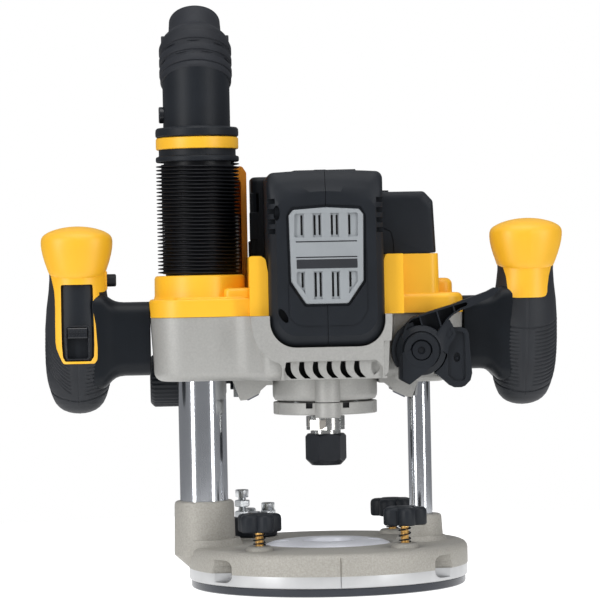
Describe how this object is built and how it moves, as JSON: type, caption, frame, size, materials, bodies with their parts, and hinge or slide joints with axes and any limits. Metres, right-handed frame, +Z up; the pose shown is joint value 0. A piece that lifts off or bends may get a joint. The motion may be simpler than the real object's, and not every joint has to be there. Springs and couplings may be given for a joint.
{
  "type": "plunge router",
  "caption": "Cordless plunge router: motor head with two side handles sliding on two columns above a round base, with a bellows-covered dust port.",
  "frame": {"origin": "on the collet axis, at the underside of the sub-base", "axes": "+X to the right handle, +Y to the battery side, +Z up along the columns"},
  "size_m": [0.3139, 0.1692, 0.3527],
  "materials": {
    "sub_base_plastic": "semi-gloss moulded plastic",
    "painted_casting": "warm grey paint with a fine sparkle texture",
    "insert_plastic": "pale grey-lavender plastic",
    "chrome_column": "polished",
    "steel": "zinc plated",
    "spring_steel": "black oxide",
    "brass": "satin",
    "bronze": "sintered",
    "black_plastic": "fine textured slate black",
    "dark_plastic": "satin black",
    "yellow_plastic": "satin yellow",
    "amber_plastic": "satin amber yellow",
    "bellows_rubber": "satin black",
    "cuff_rubber": "matt black",
    "grip_rubber": "matt slate black",
    "grille_plastic": "light grey",
    "black_steel": "black oxide",
    "polished_steel": "ground",
    "lens": "clear dark lens",
    "motor_steel": "laminated",
    "board": "green lacquer"
  },
  "bodies": {
    "base": {"sub_base": "sub_base_plastic", "base_fasteners": "steel", "base_casting": "painted_casting", "template_insert": "insert_plastic", "dust_column": "chrome_column", "guide_column": "chrome_column", "column_spring": "spring_steel", "clamp_springs": "spring_steel", "bellows": "bellows_rubber", "bellows_collar": "black_plastic"},
    "lock_ring": {"lock_ring": "yellow_plastic"},
    "port": {"port_connector": "black_plastic", "hose_cuff": "cuff_rubber"},
    "port_button": {"port_button": "dark_plastic"},
    "clamp_front_left": {"clamp_knob_front_left": "black_plastic", "clamp_stud_front_left": "brass"},
    "clamp_front_right": {"clamp_knob_front_right": "black_plastic", "clamp_stud_front_right": "brass"},
    "clamp_rear_right": {"clamp_knob_rear_right": "black_plastic", "clamp_stud_rear_right": "brass"},
    "turret": {"turret": "black_plastic", "stop_screws": "steel"},
    "carriage": {"carriage_casting": "painted_casting", "column_bushes": "bronze", "deck_cover": "yellow_plastic", "column_cap": "black_plastic", "scale_tower": "amber_plastic", "light_lenses": "lens", "bearing_retainer": "painted_casting", "retainer_screws": "steel", "bearings": "steel", "bearing_bracket": "motor_steel", "motor_shell_left": "black_plastic", "motor_shell_right": "black_plastic", "rear_housing": "black_plastic", "grille_plate": "grille_plastic", "battery_rails": "black_plastic", "battery_terminals": "brass", "control_board": "board", "stator": "motor_steel", "left_handle_outer": "grip_rubber", "left_handle_inner": "grip_rubber", "right_handle_outer": "grip_rubber", "right_handle_inner": "grip_rubber", "handle_crowns": "yellow_plastic", "switch_unit": "dark_plastic", "lever_screw": "black_steel"},
    "spindle": {"rotor": "motor_steel", "fan": "black_plastic", "spindle": "polished_steel", "collet": "steel"},
    "collet_nut": {"collet_nut": "black_steel"},
    "spindle_lock": {"spindle_lock": "black_plastic"},
    "depth_rod": {"depth_rod": "steel"},
    "depth_knob": {"depth_knob": "black_plastic"},
    "speed_dial": {"speed_dial": "dark_plastic"},
    "power_switch": {"power_switch": "dark_plastic"},
    "handle_button": {"handle_button": "dark_plastic"},
    "lever": {"plunge_lever": "black_plastic", "lever_paddle": "black_plastic"}
  },
  "joints": [
    {"name": "plunge", "type": "slide", "parent": "base", "child": "carriage", "axis": [0, 0, -1], "range_m": [0, 0.056], "stiffness_N_per_m": 1200, "springref_m": -0.06, "deforming": ["bellows", "column_spring"]},
    {"name": "spindle_spin", "type": "hinge", "parent": "carriage", "child": "spindle", "pos_m": [0, 0, 0.15], "axis": [0, 0, 1], "continuous": true},
    {"name": "collet_nut_turn", "type": "hinge", "parent": "spindle", "child": "collet_nut", "pos_m": [0, 0, 0.08], "axis": [0, 0, 1], "range_deg": [0, 1080]},
    {"name": "spindle_lock_press", "type": "slide", "parent": "carriage", "child": "spindle_lock", "axis": [0, -1, 0], "range_m": [0, 0.004], "stiffness_N_per_m": 800, "springref_m": -0.002},
    {"name": "lever_pivot", "type": "hinge", "parent": "carriage", "child": "lever", "pos_m": [0.0562, -0.03, 0.141], "axis": [0, 1, 0], "range_deg": [0, 20], "stiffness_Nm_per_rad": 1, "springref_deg": -8.59},
    {"name": "depth_knob_turn", "type": "hinge", "parent": "carriage", "child": "depth_knob", "pos_m": [-0.09, 0.0418, 0.124], "axis": [-1, 0, 0], "range_deg": [-464, 63]},
    {"name": "depth_rod_slide", "type": "slide", "parent": "carriage", "child": "depth_rod", "axis": [0, 0, 1], "range_m": [-0.0485, 0.0065]},
    {"name": "clamp_front_left_turn", "type": "hinge", "parent": "base", "child": "clamp_front_left", "pos_m": [-0.043, -0.05, 0.03], "axis": [0, 0, 1], "range_deg": [0, 1080]},
    {"name": "clamp_front_right_turn", "type": "hinge", "parent": "base", "child": "clamp_front_right", "pos_m": [0.043, -0.05, 0.03], "axis": [0, 0, 1], "range_deg": [0, 1080]},
    {"name": "clamp_rear_right_turn", "type": "hinge", "parent": "base", "child": "clamp_rear_right", "pos_m": [0.043, 0.05, 0.03], "axis": [0, 0, 1], "range_deg": [0, 1080]},
    {"name": "turret_turn", "type": "hinge", "parent": "base", "child": "turret", "pos_m": [-0.044, 0.04, 0.03], "axis": [0, 0, 1], "continuous": true},
    {"name": "lock_ring_turn", "type": "hinge", "parent": "base", "child": "lock_ring", "pos_m": [-0.0745, 0, 0.268], "axis": [0, 0, 1], "range_deg": [0, 30]},
    {"name": "port_swivel", "type": "hinge", "parent": "base", "child": "port", "pos_m": [-0.0745, 0, 0.29], "axis": [0, 0, 1], "continuous": true},
    {"name": "port_button_press", "type": "slide", "parent": "port", "child": "port_button", "axis": [1, 0, 0], "range_m": [0, 0.002], "stiffness_N_per_m": 500, "springref_m": -0.002},
    {"name": "power_switch_slide", "type": "slide", "parent": "carriage", "child": "power_switch", "axis": [0, 0, -1], "range_m": [0, 0.0115]},
    {"name": "handle_button_press", "type": "slide", "parent": "carriage", "child": "handle_button", "axis": [-1, 0, 0], "range_m": [0, 0.0035], "stiffness_N_per_m": 500, "springref_m": -0.002},
    {"name": "speed_dial_turn", "type": "hinge", "parent": "carriage", "child": "speed_dial", "pos_m": [0, 0.008, 0.244], "axis": [1, 0, 0], "range_deg": [0, 270]}
  ],
  "couplings": [
    {"joint": "depth_knob_turn", "follows": "depth_rod_slide", "rad_per_m": 166.67}
  ]
}
